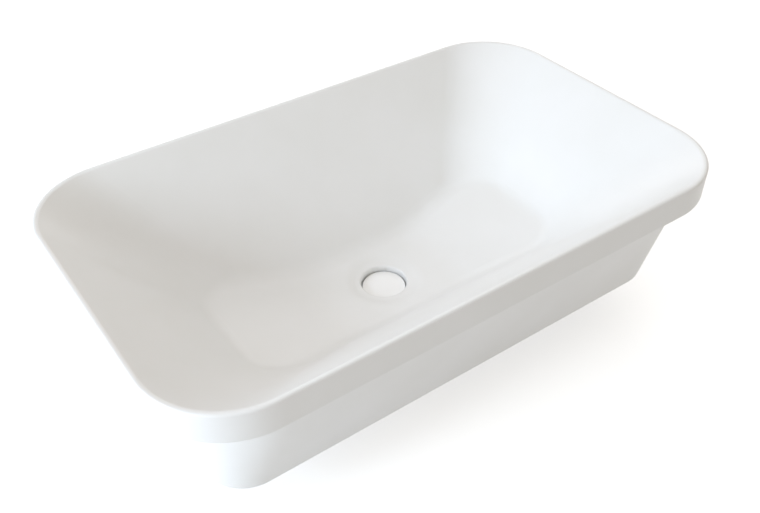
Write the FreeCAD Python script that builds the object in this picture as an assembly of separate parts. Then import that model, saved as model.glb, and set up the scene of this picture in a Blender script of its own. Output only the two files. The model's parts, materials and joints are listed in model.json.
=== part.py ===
"""Semi-inset washbasin in glazed ceramic, with an unslotted press-to-open waste.

The origin is on the drain axis, in the plane of the worktop that the basin's ledge rests on.
X runs along the long side, Y across it and Z up. All lengths are in millimetres.
"""
import FreeCAD, Part
import math
import os

from FreeCAD import Vector

# Rim and collar, the part that stays above the worktop
RIM_LENGTH = 608.0
RIM_WIDTH = 370.0
RIM_CORNER_R = 81.0
RIM_WALL = 4.6
RIM_EDGE_R = 2.2
RIM_FLAT = 0.44
COLLAR_HEIGHT = 32.0
COLLAR_FOOT_R = 3.0
LEDGE_AT_ENDS = 26.0
LEDGE_AT_SIDES = 7.0
LEDGE_FILLET_R = 4.0

# Lower body, the part that drops through the worktop
BODY_TOP_CORNER_R = 84.0
BODY_END_TAPER = 15.0
BODY_SIDE_TAPER = 36.0
BODY_FOOT_CORNER_R = 40.0
BODY_FOOT_EDGE_R = 4.0
SKIRT_WALL = 10.0

# Bowl
BOWL_DEPTH = 128.5
BOWL_FLOOR_LENGTH = 320.0
BOWL_FLOOR_BESIDE_DISH = 13.0
BOWL_FLOOR_END_FLAT = 30.0
BOWL_CREASE_R = 28.0
BOWL_FLOOR_WALL = 10.0
BOWL_SIDE_WALL = 6.0
RAMP_RISE = 23.5
RAMP_INSET = 95.0
RAMP_BLEND_R = 150.0

# Waste outlet in the ceramic
DISH_WIDTH = 16.6
DISH_DROP = 2.5
OUTLET_LIP_R = 2.2
OUTLET_SHOULDER_DROP = 10.5
OUTLET_SHOULDER_WIDTH = 2.3
OUTLET_SHOULDER_WALL = 4.5
OUTLET_CLEARANCE = 0.95
BOSS_WALL = 18.1

# Waste body and the rings that clamp it
GASKET_THICKNESS = 0.8
FLANGE_CLEARANCE = 0.5
FLANGE_THICKNESS = 1.4
BARREL_R = 20.95
BARREL_WALL = 2.5
BARREL_LENGTH = 62.0
BARREL_CHAMFER = 1.5
THREAD_RELIEF_WIDTH = 2.5
THREAD_RELIEF_DEPTH = 0.9
THREAD_RELIEF_BELOW_NUT = 2.0
THREAD_CLEARANCE = 0.1
SEAL_CONE_HEIGHT = 10.0
SEAL_CONE_TOP_WIDTH = 12.0
SEAL_CONE_FOOT_WIDTH = 6.0
SLIP_WASHER_THICKNESS = 2.0
SLIP_WASHER_WIDTH = 8.0
LOCK_NUT_HEIGHT = 10.0
LOCK_NUT_WALL = 6.0
NUT_CHAMFER = 1.0

# Bridge inside the barrel that carries the cartridge
BRIDGE_HEIGHT = 5.0
BRIDGE_BOSS_WALL = 3.4
BRIDGE_RIB_WIDTH = 3.6
BRIDGE_RIBS = 4

# Cartridge: sleeve, bush, washer, jam nut and foot plug
SLEEVE_R = 7.0
SLEEVE_WALL = 1.4
SLEEVE_COLLAR_WIDTH = 1.5
SLEEVE_COLLAR_HEIGHT = 4.0
SLEEVE_NECK_HEIGHT = 4.5
FIBRE_WASHER_THICKNESS = 0.8
FIBRE_WASHER_WIDTH = 2.5
BUSH_FLANGE_WIDTH = 1.0
BUSH_FLANGE_THICKNESS = 1.0
BUSH_UNDER_HUB = 4.1
JAM_NUT_HEIGHT = 6.0
JAM_NUT_WALL = 2.4
SPRING_PLUG_HEIGHT = 4.0
SPRING_PLUG_PILOT_R = 2.6
SPRING_PLUG_PILOT_HEIGHT = 2.0

# Plug: cap, seal and carrier
PLUG_LIFT = 9.0
CAP_CLEARANCE = 1.6
CAP_EDGE_THICKNESS = 1.1
CAP_CROWN = 0.5
CAP_EDGE_R = 0.5
PLUG_SEAL_THICKNESS = 0.9
PLUG_SEAL_WIDTH = 3.2
PLUG_SEAT_GAP = 0.1
CARRIER_CLEARANCE = 0.9
CARRIER_DISC_THICKNESS = 1.6
CARRIER_HUB_R = 6.0
CARRIER_HUB_HEIGHT = 4.0

# Plunger, rotor, clip and spring
PLUNGER_R = 4.0
PLUNGER_SPIGOT_R = 2.5
PLUNGER_SPIGOT_LENGTH = 3.5
PLUNGER_HEAD_HEIGHT = 6.5
PLUNGER_HEAD_BELOW_BUSH = 3.0
PLUNGER_PILOT_R = 2.2
ROTOR_HEIGHT = 5.0
ROTOR_NOTCHES = 4
ROTOR_NOTCH_DEPTH = 1.2
ROTOR_NOTCH_WIDTH = 1.6
ROTOR_NOTCH_REACH = 1.5
CLIP_THICKNESS = 0.8
CLIP_OPENING = 3.0
SPRING_WIRE_R = 0.45
SPRING_TURN_GAP = 0.45
SPRING_IN_SLEEVE = 0.95
SPRING_TURNS = 6
SPRING_POINTS_PER_QUARTER = 8
SLIDE_CLEARANCE = 0.3
RUNNING_CLEARANCE = 0.05

# One overrun serves all cuts, and one margin all comparisons of places
OVERRUN = 5.0
SAME_PLACE = 0.05

# Radii and widths worked out from the sizes above
BARREL_BORE_R = BARREL_R - BARREL_WALL
NUT_BORE_R = BARREL_R + THREAD_CLEARANCE
OUTLET_THROUGH_R = BARREL_R + OUTLET_CLEARANCE
OUTLET_R = OUTLET_THROUGH_R + OUTLET_SHOULDER_WIDTH
DISH_R = OUTLET_R + OUTLET_LIP_R + DISH_WIDTH
BOSS_R = OUTLET_THROUGH_R + BOSS_WALL
BOWL_FLOOR_WIDTH = 2 * (DISH_R + BOWL_FLOOR_BESIDE_DISH)
BOWL_FLOOR_CORNER_R = (BOWL_FLOOR_WIDTH - BOWL_FLOOR_END_FLAT) / 2
FLANGE_R = OUTLET_R - FLANGE_CLEARANCE
CAP_R = OUTLET_R - CAP_CLEARANCE
CARRIER_R = BARREL_BORE_R - CARRIER_CLEARANCE
SLEEVE_BORE_R = SLEEVE_R - SLEEVE_WALL
BRIDGE_BORE_R = SLEEVE_R + THREAD_CLEARANCE
BUSH_BORE_R = PLUNGER_R + RUNNING_CLEARANCE
HEAD_R = SLEEVE_BORE_R - SLIDE_CLEARANCE
SPRING_COIL_R = SLEEVE_BORE_R - SPRING_IN_SLEEVE - SPRING_WIRE_R
CLIP_R = SPRING_COIL_R - SPRING_WIRE_R - SLIDE_CLEARANCE

# Slopes of the bowl, and the rounding inside the rim that the steepest of them leaves room for
END_RUN = (RIM_LENGTH - BOWL_FLOOR_LENGTH) / 2 - RIM_WALL
SIDE_RUN = (RIM_WIDTH - BOWL_FLOOR_WIDTH) / 2 - RIM_WALL
RAMP_FOOT = BOWL_FLOOR_LENGTH / 2 - RAMP_INSET
RAMP_HEAD = BOWL_FLOOR_LENGTH / 2 + RAMP_RISE * END_RUN / BOWL_DEPTH
RAMP_ANGLE = math.atan2(RAMP_RISE, RAMP_HEAD - RAMP_FOOT)
STEEPEST_ANGLE = math.atan2(BOWL_DEPTH, min(END_RUN, SIDE_RUN))
RIM_INNER_R = (RIM_WALL - RIM_EDGE_R - RIM_FLAT) / math.tan(STEEPEST_ANGLE / 2)

# Heights worked out from the sizes above
RIM_Z = COLLAR_HEIGHT
FLOOR_Z = RIM_Z - BOWL_DEPTH
LIP_Z = FLOOR_Z - DISH_DROP
SHOULDER_Z = LIP_Z - OUTLET_SHOULDER_DROP
FOOT_Z = SHOULDER_Z - OUTLET_SHOULDER_WALL
FLANGE_FOOT_Z = SHOULDER_Z + GASKET_THICKNESS
FLANGE_Z = FLANGE_FOOT_Z + FLANGE_THICKNESS
BARREL_FOOT_Z = FLANGE_Z - BARREL_LENGTH
CONE_FOOT_Z = FOOT_Z - SEAL_CONE_HEIGHT
SLIP_FOOT_Z = CONE_FOOT_Z - SLIP_WASHER_THICKNESS
NUT_FOOT_Z = SLIP_FOOT_Z - LOCK_NUT_HEIGHT
RELIEF_Z = NUT_FOOT_Z - THREAD_RELIEF_BELOW_NUT
RELIEF_FOOT_Z = RELIEF_Z - THREAD_RELIEF_WIDTH
SEAL_FOOT_Z = FLANGE_Z + PLUG_SEAT_GAP
CAP_FOOT_Z = SEAL_FOOT_Z + PLUG_SEAL_THICKNESS
CAP_Z = CAP_FOOT_Z + CAP_EDGE_THICKNESS
CARRIER_FOOT_Z = CAP_FOOT_Z - CARRIER_DISC_THICKNESS - CARRIER_HUB_HEIGHT
NECK_Z = CARRIER_FOOT_Z - BUSH_UNDER_HUB - BUSH_FLANGE_THICKNESS
COLLAR_TOP_Z = NECK_Z - SLEEVE_NECK_HEIGHT
COLLAR_SEAT_Z = COLLAR_TOP_Z - SLEEVE_COLLAR_HEIGHT
BRIDGE_Z = COLLAR_SEAT_Z - FIBRE_WASHER_THICKNESS
BRIDGE_FOOT_Z = BRIDGE_Z - BRIDGE_HEIGHT
HEAD_Z = COLLAR_SEAT_Z - PLUG_LIFT - PLUNGER_HEAD_BELOW_BUSH
HEAD_FOOT_Z = HEAD_Z - PLUNGER_HEAD_HEIGHT
ROTOR_Z = HEAD_FOOT_Z - SLIDE_CLEARANCE
ROTOR_FOOT_Z = ROTOR_Z - ROTOR_HEIGHT
CLIP_Z = ROTOR_FOOT_Z - SLIDE_CLEARANCE
CLIP_FOOT_Z = CLIP_Z - CLIP_THICKNESS
SPRING_RISE = SPRING_TURNS * (2 * SPRING_WIRE_R + SPRING_TURN_GAP)
SPRING_PLUG_Z = ROTOR_FOOT_Z - SPRING_RISE - 2 * SPRING_WIRE_R
SLEEVE_FOOT_Z = SPRING_PLUG_Z - SPRING_PLUG_HEIGHT


def rounded_outline(half_length, half_width, corner_r, z):
    """A closed rectangle with round corners, at height z."""
    edges = []
    turn = math.cos(math.radians(45)) * corner_r
    signs = ((1, 1), (-1, 1), (-1, -1), (1, -1))
    ends = []
    for x_sign, y_sign in signs:
        centre_x = x_sign * (half_length - corner_r)
        centre_y = y_sign * (half_width - corner_r)
        on_end = Vector(x_sign * half_length, centre_y, z)
        on_side = Vector(centre_x, y_sign * half_width, z)
        middle = Vector(centre_x + x_sign * turn, centre_y + y_sign * turn, z)
        first, last = (on_end, on_side) if x_sign == y_sign else (on_side, on_end)
        ends.append((first, middle, last))
    for index, (first, middle, last) in enumerate(ends):
        edges.append(Part.Arc(first, middle, last).toShape())
        edges.append(Part.LineSegment(last, ends[(index + 1) % len(ends)][0]).toShape())
    return Part.Wire(edges)


def tapered_block(top, foot):
    """A solid with flat sloping sides between two outlines."""
    return Part.makeLoft([rounded_outline(*top), rounded_outline(*foot)], True, True)


def upright_block(half_length, half_width, corner_r, foot_z, top_z):
    """A solid with upright sides on one rounded outline."""
    face = Part.Face(rounded_outline(half_length, half_width, corner_r, foot_z))
    return face.extrude(Vector(0, 0, top_z - foot_z))


def disc(radius, foot_z, top_z):
    """An upright cylinder on the drain axis."""
    return Part.makeCylinder(radius, top_z - foot_z, Vector(0, 0, foot_z))


def ring(outer_r, inner_r, foot_z, top_z):
    """An upright ring on the drain axis."""
    return disc(outer_r, foot_z, top_z).cut(disc(inner_r, foot_z - OVERRUN, top_z + OVERRUN))


def turned(points):
    """A solid turned about the drain axis from a closed outline of (radius, height) points."""
    outline = Part.makePolygon([Vector(r, 0, z) for r, z in points + points[:1]])
    return Part.Face(outline).revolve(Vector(), Vector(0, 0, 1), 360)


def hexagon(flat_r, foot_z, top_z, chamfer):
    """A hexagon prism, flat_r from its axis to its flats, whose corners are turned off at both ends."""
    corner_r = flat_r / math.cos(math.radians(30))
    corners = []
    for index in range(6):
        angle = math.radians(60 * index)
        corners.append(Vector(corner_r * math.cos(angle), corner_r * math.sin(angle), foot_z))
    prism = Part.Face(Part.makePolygon(corners + corners[:1])).extrude(Vector(0, 0, top_z - foot_z))
    edge_r = corner_r - chamfer
    envelope = turned([
        (0, foot_z), (edge_r, foot_z), (corner_r, foot_z + chamfer / 2),
        (corner_r, top_z - chamfer / 2), (edge_r, top_z), (0, top_z),
    ])
    return prism.common(envelope)


def level_edges(shape, z):
    """The edges of a shape that lie wholly at height z."""
    found = []
    for edge in shape.Edges:
        box = edge.BoundBox
        if max(abs(box.ZMin - z), abs(box.ZMax - z)) < SAME_PLACE:
            found.append(edge)
    return found


def level_edges_within(shape, z, half_length, half_width):
    """The edges at height z that stay inside a rectangle."""
    found = []
    for edge in level_edges(shape, z):
        box = edge.BoundBox
        reach_x = max(box.XMax, -box.XMin)
        reach_y = max(box.YMax, -box.YMin)
        if reach_x < half_length + SAME_PLACE and reach_y < half_width + SAME_PLACE:
            found.append(edge)
    return found


def ramp_profile(drop):
    """The bowl floor's line along the length: ramp, bend, flat, bend, ramp, closed above the rim."""
    floor_z = FLOOR_Z - drop
    angle = RAMP_ANGLE
    tangent = RAMP_BLEND_R * math.tan(angle / 2)
    far_x = RIM_LENGTH / 2 + OVERRUN
    top_z = RIM_Z + OVERRUN
    points = {
        "rim": (far_x, floor_z + (far_x - RAMP_FOOT) * math.tan(angle)),
        "bend": (RAMP_FOOT + tangent * math.cos(angle), floor_z + tangent * math.sin(angle)),
        "middle": (
            RAMP_FOOT - tangent + RAMP_BLEND_R * math.sin(angle / 2),
            floor_z + RAMP_BLEND_R * (1 - math.cos(angle / 2)),
        ),
        "flat": (RAMP_FOOT - tangent, floor_z),
        "top": (far_x, top_z),
    }
    y = -RIM_WIDTH / 2 - OVERRUN
    right = {name: Vector(x, y, z) for name, (x, z) in points.items()}
    left = {name: Vector(-x, y, z) for name, (x, z) in points.items()}
    return Part.Wire([
        Part.LineSegment(right["top"], right["rim"]).toShape(),
        Part.LineSegment(right["rim"], right["bend"]).toShape(),
        Part.Arc(right["bend"], right["middle"], right["flat"]).toShape(),
        Part.LineSegment(right["flat"], left["flat"]).toShape(),
        Part.Arc(left["flat"], left["middle"], left["bend"]).toShape(),
        Part.LineSegment(left["bend"], left["rim"]).toShape(),
        Part.LineSegment(left["rim"], left["top"]).toShape(),
        Part.LineSegment(left["top"], right["top"]).toShape(),
    ])


def bowl_form(spread, drop):
    """The bowl as a solid: a tapered pocket above the ramped floor, widened and lowered for its outside."""
    rim = (
        RIM_LENGTH / 2 - RIM_WALL + spread,
        RIM_WIDTH / 2 - RIM_WALL + spread,
        RIM_CORNER_R - RIM_WALL + spread,
        RIM_Z - drop,
    )
    floor = (
        BOWL_FLOOR_LENGTH / 2 + spread,
        BOWL_FLOOR_WIDTH / 2 + spread,
        BOWL_FLOOR_CORNER_R + spread,
        FLOOR_Z - drop,
    )
    trough = Part.Face(ramp_profile(drop)).extrude(Vector(0, RIM_WIDTH + 2 * OVERRUN, 0))
    return tapered_block(rim, floor).common(trough)


def crease_edges(bowl):
    """The edges where the bowl's walls meet its floor."""
    low = [edge for edge in bowl.Edges if edge.BoundBox.ZMax < RIM_Z - OVERRUN]
    reach = max(edge.BoundBox.XMax for edge in low)
    found = []
    for edge in low:
        box = edge.BoundBox
        across = box.YMin < 0 < box.YMax
        at_end = max(abs(box.XMin), abs(box.XMax)) > reach - SAME_PLACE
        if at_end or not across:
            found.append(edge)
    return found


def outlet_hole():
    """The dish round the outlet, its round lip, the bore, the shoulder and the hole through."""
    rim_r = OUTLET_R + OUTLET_LIP_R
    half_run = (DISH_R - rim_r) / 2
    half_drop = DISH_DROP / 2
    bend = math.atan2(half_drop, half_run)
    bend_r = half_run / math.sin(2 * bend)
    shift = bend_r * math.sin(bend)
    sink = bend_r * (1 - math.cos(bend))
    lip_step = OUTLET_LIP_R * (1 - math.cos(math.radians(45)))
    path = [
        (DISH_R, FLOOR_Z), (DISH_R - shift, FLOOR_Z - sink),
        (rim_r + half_run, FLOOR_Z - half_drop), (rim_r + shift, LIP_Z + sink),
        (rim_r, LIP_Z), (OUTLET_R + lip_step, LIP_Z - lip_step), (OUTLET_R, LIP_Z - OUTLET_LIP_R),
    ]
    curve = [Vector(r, 0, z) for r, z in path]
    edges = [Part.Arc(*curve[start:start + 3]).toShape() for start in (0, 2, 4)]
    rest = [
        (OUTLET_R, LIP_Z - OUTLET_LIP_R),
        (OUTLET_R, SHOULDER_Z),
        (OUTLET_THROUGH_R, SHOULDER_Z),
        (OUTLET_THROUGH_R, FOOT_Z - OVERRUN),
        (0, FOOT_Z - OVERRUN),
        (0, FLOOR_Z + OVERRUN),
        (DISH_R, FLOOR_Z + OVERRUN),
        (DISH_R, FLOOR_Z),
    ]
    corners = [Vector(r, 0, z) for r, z in rest]
    edges += Part.makePolygon(corners).Edges
    return Part.Face(Part.Wire(edges)).revolve(Vector(), Vector(0, 0, 1), 360)


def body_form(inset):
    """The lower body as a solid that draws in towards its foot, made smaller all round for its inside."""
    top_x = RIM_LENGTH / 2 - LEDGE_AT_ENDS - inset
    top_y = RIM_WIDTH / 2 - LEDGE_AT_SIDES - inset
    top = (top_x, top_y, BODY_TOP_CORNER_R - inset, 0)
    foot = (top_x - BODY_END_TAPER, top_y - BODY_SIDE_TAPER, BODY_FOOT_CORNER_R - inset, FOOT_Z)
    return tapered_block(top, foot)


def underside_hollow():
    """The open space below, between the skirt's inside and the bowl's outside."""
    space = body_form(SKIRT_WALL)
    bowl_outside = bowl_form(BOWL_SIDE_WALL, BOWL_FLOOR_WALL)
    boss = disc(BOSS_R, FOOT_Z, FLOOR_Z)
    return space.cut(bowl_outside).cut(boss)


def ceramic_basin():
    """The casting: collar, ledge and skirt outside, the bowl inside, open below."""
    half_length = RIM_LENGTH / 2
    half_width = RIM_WIDTH / 2
    collar = upright_block(half_length, half_width, RIM_CORNER_R, 0, RIM_Z)
    collar = collar.makeFillet(RIM_EDGE_R, level_edges(collar, RIM_Z))
    collar = collar.makeFillet(COLLAR_FOOT_R, level_edges(collar, 0))
    body = body_form(0)
    body = body.makeFillet(BODY_FOOT_EDGE_R, level_edges(body, FOOT_Z))
    bowl = bowl_form(0, 0)
    bowl = bowl.makeFillet(BOWL_CREASE_R, crease_edges(bowl))
    shell = collar.fuse(body).cut(bowl)
    step = level_edges_within(shell, 0, half_length - LEDGE_AT_ENDS, half_width - LEDGE_AT_SIDES)
    shell = shell.makeFillet(LEDGE_FILLET_R, step)
    brink = level_edges_within(shell, RIM_Z, half_length - RIM_WALL, half_width - RIM_WALL)
    shell = shell.makeFillet(RIM_INNER_R, brink)
    return shell.cut(underside_hollow()).cut(outlet_hole())


def waste_body():
    """Flange, threaded barrel with a relief below the nut, and the bridge that holds the cartridge."""
    tube = turned([
        (BARREL_BORE_R, FLANGE_Z),
        (FLANGE_R, FLANGE_Z),
        (FLANGE_R, FLANGE_FOOT_Z),
        (BARREL_R, FLANGE_FOOT_Z),
        (BARREL_R, RELIEF_Z),
        (BARREL_R - THREAD_RELIEF_DEPTH, RELIEF_Z),
        (BARREL_R - THREAD_RELIEF_DEPTH, RELIEF_FOOT_Z),
        (BARREL_R, RELIEF_FOOT_Z),
        (BARREL_R, BARREL_FOOT_Z + BARREL_CHAMFER),
        (BARREL_R - BARREL_CHAMFER, BARREL_FOOT_Z),
        (BARREL_BORE_R, BARREL_FOOT_Z),
    ])
    bridge = disc(BRIDGE_BORE_R + BRIDGE_BOSS_WALL, BRIDGE_FOOT_Z, BRIDGE_Z)
    rib_reach = BARREL_BORE_R + BARREL_WALL / 2
    for index in range(BRIDGE_RIBS):
        rib = Part.makeBox(
            rib_reach, BRIDGE_RIB_WIDTH, BRIDGE_HEIGHT, Vector(0, -BRIDGE_RIB_WIDTH / 2, BRIDGE_FOOT_Z)
        )
        rib.rotate(Vector(), Vector(0, 0, 1), 360 / BRIDGE_RIBS * index)
        bridge = bridge.fuse(rib)
    hole = disc(BRIDGE_BORE_R, BRIDGE_FOOT_Z - OVERRUN, BRIDGE_Z + OVERRUN)
    return tube.fuse(bridge).cut(hole).removeSplitter()


def flange_gasket():
    """Rubber ring between the outlet's shoulder and the waste's flange."""
    return ring(FLANGE_R, OUTLET_THROUGH_R, SHOULDER_Z, FLANGE_FOOT_Z)


def tapered_seal():
    """Rubber cone that is pressed up against the foot of the outlet's boss."""
    return turned([
        (NUT_BORE_R, FOOT_Z),
        (NUT_BORE_R + SEAL_CONE_TOP_WIDTH, FOOT_Z),
        (NUT_BORE_R + SEAL_CONE_FOOT_WIDTH, CONE_FOOT_Z),
        (NUT_BORE_R, CONE_FOOT_Z),
    ])


def slip_washer():
    """Plastic ring that lets the nut turn without dragging the cone."""
    return ring(NUT_BORE_R + SLIP_WASHER_WIDTH, NUT_BORE_R, SLIP_FOOT_Z, CONE_FOOT_Z)


def lock_nut():
    """Hexagon back nut on the barrel."""
    bore = disc(NUT_BORE_R, NUT_FOOT_Z - OVERRUN, SLIP_FOOT_Z + OVERRUN)
    return hexagon(NUT_BORE_R + LOCK_NUT_WALL, NUT_FOOT_Z, SLIP_FOOT_Z, NUT_CHAMFER).cut(bore)


def plug_cap():
    """White cap with a slight crown, bonded on its carrier."""
    crown_z = CAP_Z + CAP_CROWN
    rim_top = Vector(CAP_R - CAP_EDGE_R, 0, CAP_Z)
    sphere_r = ((CAP_R - CAP_EDGE_R) ** 2 + CAP_CROWN ** 2) / (2 * CAP_CROWN)
    half = (CAP_R - CAP_EDGE_R) / 2
    crown_mid = Vector(half, 0, crown_z - sphere_r + math.sqrt(sphere_r ** 2 - half ** 2))
    edge_mid = Vector(
        CAP_R - CAP_EDGE_R * (1 - math.cos(math.radians(45))), 0,
        CAP_Z - CAP_EDGE_R * (1 - math.sin(math.radians(45))),
    )
    edge_end = Vector(CAP_R, 0, CAP_Z - CAP_EDGE_R)
    foot = Vector(CAP_R, 0, CAP_FOOT_Z)
    outline = Part.Wire([
        Part.Arc(Vector(0, 0, crown_z), crown_mid, rim_top).toShape(),
        Part.Arc(rim_top, edge_mid, edge_end).toShape(),
        Part.LineSegment(edge_end, foot).toShape(),
        Part.LineSegment(foot, Vector(0, 0, CAP_FOOT_Z)).toShape(),
        Part.LineSegment(Vector(0, 0, CAP_FOOT_Z), Vector(0, 0, crown_z)).toShape(),
    ])
    return Part.Face(outline).revolve(Vector(), Vector(0, 0, 1), 360)


def plug_seal():
    """Rubber ring under the cap's edge that closes on the flange."""
    return ring(CARRIER_R + PLUG_SEAL_WIDTH, CARRIER_R, SEAL_FOOT_Z, CAP_FOOT_Z)


def plug_carrier():
    """Disc under the cap with a threaded hub for the plunger."""
    disc_foot_z = CAP_FOOT_Z - CARRIER_DISC_THICKNESS
    body = disc(CARRIER_R, disc_foot_z, CAP_FOOT_Z).fuse(disc(CARRIER_HUB_R, CARRIER_FOOT_Z, disc_foot_z))
    hole_top_z = CARRIER_FOOT_Z + PLUNGER_SPIGOT_LENGTH
    hole = disc(PLUNGER_SPIGOT_R, CARRIER_FOOT_Z, hole_top_z)
    return body.cut(hole).removeSplitter()


def plunger():
    """Sliding stem: spigot in the carrier, shaft in the bush, head in the sleeve, pilot for the rotor."""
    shaft = disc(PLUNGER_R, HEAD_Z, CARRIER_FOOT_Z)
    spigot = disc(PLUNGER_SPIGOT_R, CARRIER_FOOT_Z, CARRIER_FOOT_Z + PLUNGER_SPIGOT_LENGTH)
    head = disc(HEAD_R, HEAD_FOOT_Z, HEAD_Z)
    pilot = disc(PLUNGER_PILOT_R, CLIP_FOOT_Z - CLIP_THICKNESS, HEAD_FOOT_Z)
    return shaft.fuse([spigot, head, pilot]).removeSplitter()


def cartridge_sleeve():
    """Threaded sleeve with a hexagon collar that rests on the bridge."""
    tube = disc(SLEEVE_R, SLEEVE_FOOT_Z, NECK_Z)
    collar = hexagon(SLEEVE_R + SLEEVE_COLLAR_WIDTH, COLLAR_SEAT_Z, COLLAR_TOP_Z, NUT_CHAMFER)
    bore = disc(SLEEVE_BORE_R, SLEEVE_FOOT_Z - OVERRUN, NECK_Z + OVERRUN)
    return tube.fuse(collar).cut(bore).removeSplitter()


def cartridge_washer():
    """Fibre washer between the sleeve's collar and the bridge."""
    return ring(BRIDGE_BORE_R + FIBRE_WASHER_WIDTH, BRIDGE_BORE_R, BRIDGE_Z, COLLAR_SEAT_Z)


def cartridge_jam_nut():
    """Hexagon nut that locks the sleeve under the bridge."""
    foot_z = BRIDGE_FOOT_Z - JAM_NUT_HEIGHT
    bore = disc(BRIDGE_BORE_R, foot_z - OVERRUN, BRIDGE_FOOT_Z + OVERRUN)
    return hexagon(BRIDGE_BORE_R + JAM_NUT_WALL, foot_z, BRIDGE_FOOT_Z, NUT_CHAMFER).cut(bore)


def guide_bush():
    """Flanged bush in the sleeve's neck that guides the plunger."""
    body = disc(SLEEVE_BORE_R, COLLAR_SEAT_Z, NECK_Z)
    flange = disc(SLEEVE_BORE_R + BUSH_FLANGE_WIDTH, NECK_Z, NECK_Z + BUSH_FLANGE_THICKNESS)
    bore = disc(BUSH_BORE_R, COLLAR_SEAT_Z - OVERRUN, NECK_Z + OVERRUN)
    return body.fuse(flange).cut(bore).removeSplitter()


def ratchet_rotor():
    """Cam ring that turns one step at each press, with notches in its upper edge."""
    rotor = ring(HEAD_R, PLUNGER_PILOT_R + RUNNING_CLEARANCE, ROTOR_FOOT_Z, ROTOR_Z)
    corner = Vector(HEAD_R - ROTOR_NOTCH_REACH, -ROTOR_NOTCH_WIDTH / 2, ROTOR_Z - ROTOR_NOTCH_DEPTH)
    for index in range(ROTOR_NOTCHES):
        notch = Part.makeBox(HEAD_R, ROTOR_NOTCH_WIDTH, ROTOR_NOTCH_DEPTH, corner)
        notch.rotate(Vector(), Vector(0, 0, 1), 360 / ROTOR_NOTCHES * index)
        rotor = rotor.cut(notch)
    return rotor


def rotor_clip():
    """Open ring on the plunger's pilot that keeps the rotor up."""
    clip = ring(CLIP_R, PLUNGER_PILOT_R, CLIP_FOOT_Z, CLIP_Z)
    gap = Part.makeBox(
        CLIP_R, CLIP_OPENING, CLIP_THICKNESS, Vector(0, -CLIP_OPENING / 2, CLIP_FOOT_Z)
    )
    return clip.cut(gap)


def spring_plug():
    """Screw plug in the sleeve's foot, with a pilot that centres the spring."""
    body = disc(SLEEVE_BORE_R, SLEEVE_FOOT_Z, SPRING_PLUG_Z)
    pilot = disc(SPRING_PLUG_PILOT_R, SPRING_PLUG_Z, SPRING_PLUG_Z + SPRING_PLUG_PILOT_HEIGHT)
    return body.fuse(pilot).removeSplitter()


def least_turn_gap(points):
    """The least gap between a coil's turns, from points along the middle of its wire."""
    half_turn = SPRING_POINTS_PER_QUARTER * 2
    least = SPRING_COIL_R
    for index, point in enumerate(points):
        for other in points[index + half_turn:]:
            least = min(least, point.distanceToPoint(other))
    return least - 2 * SPRING_WIRE_R


def return_spring():
    """Round-wire coil between the foot plug and the rotor, one unbroken tube of quarter-turn arcs."""
    foot_z = SPRING_PLUG_Z + SPRING_WIRE_R
    steps = SPRING_TURNS * 4
    rise = SPRING_RISE / steps
    edges = []
    points = []
    for index in range(steps):
        arc = []
        for quarter in (index, index + 1 / 2, index + 1):
            angle = math.radians(90 * quarter)
            arc.append(Vector(
                SPRING_COIL_R * math.cos(angle), SPRING_COIL_R * math.sin(angle), foot_z + rise * quarter
            ))
        edges.append(Part.Arc(*arc).toShape())
        points += edges[-1].discretize(SPRING_POINTS_PER_QUARTER + 1)[:-1]
    print("return_spring: least gap between turns", round(least_turn_gap(points), 3))
    start = edges[0]
    first = start.FirstParameter
    circle = Part.Circle(start.valueAt(first), start.tangentAt(first), SPRING_WIRE_R)
    return Part.Wire(edges).makePipeShell([Part.Wire([circle.toShape()])], True, False)


PIECES = {
    "ceramic_basin": ceramic_basin,
    "waste_body": waste_body,
    "flange_gasket": flange_gasket,
    "tapered_seal": tapered_seal,
    "slip_washer": slip_washer,
    "lock_nut": lock_nut,
    "plug_cap": plug_cap,
    "plug_seal": plug_seal,
    "plug_carrier": plug_carrier,
    "plunger": plunger,
    "cartridge_sleeve": cartridge_sleeve,
    "cartridge_washer": cartridge_washer,
    "cartridge_jam_nut": cartridge_jam_nut,
    "guide_bush": guide_bush,
    "ratchet_rotor": ratchet_rotor,
    "rotor_clip": rotor_clip,
    "return_spring": return_spring,
    "spring_plug": spring_plug,
}

os.makedirs("parts", exist_ok=True)
for node, build in PIECES.items():
    shape = build()
    print(node, shape.ShapeType, len(shape.Solids), shape.isValid(), round(shape.Volume, 1))
    shape.exportStep(os.path.join("parts", node + ".step"))
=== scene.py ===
"""Looks for a semi-inset washbasin with a press-to-open waste.

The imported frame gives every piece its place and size. This script gives the pieces their finish, models the
ones whose threads, coils and moulded edges the frame leaves plain, and sets up the studio.
"""

import json
import math

import bpy
from mathutils import Matrix, Vector


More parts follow.
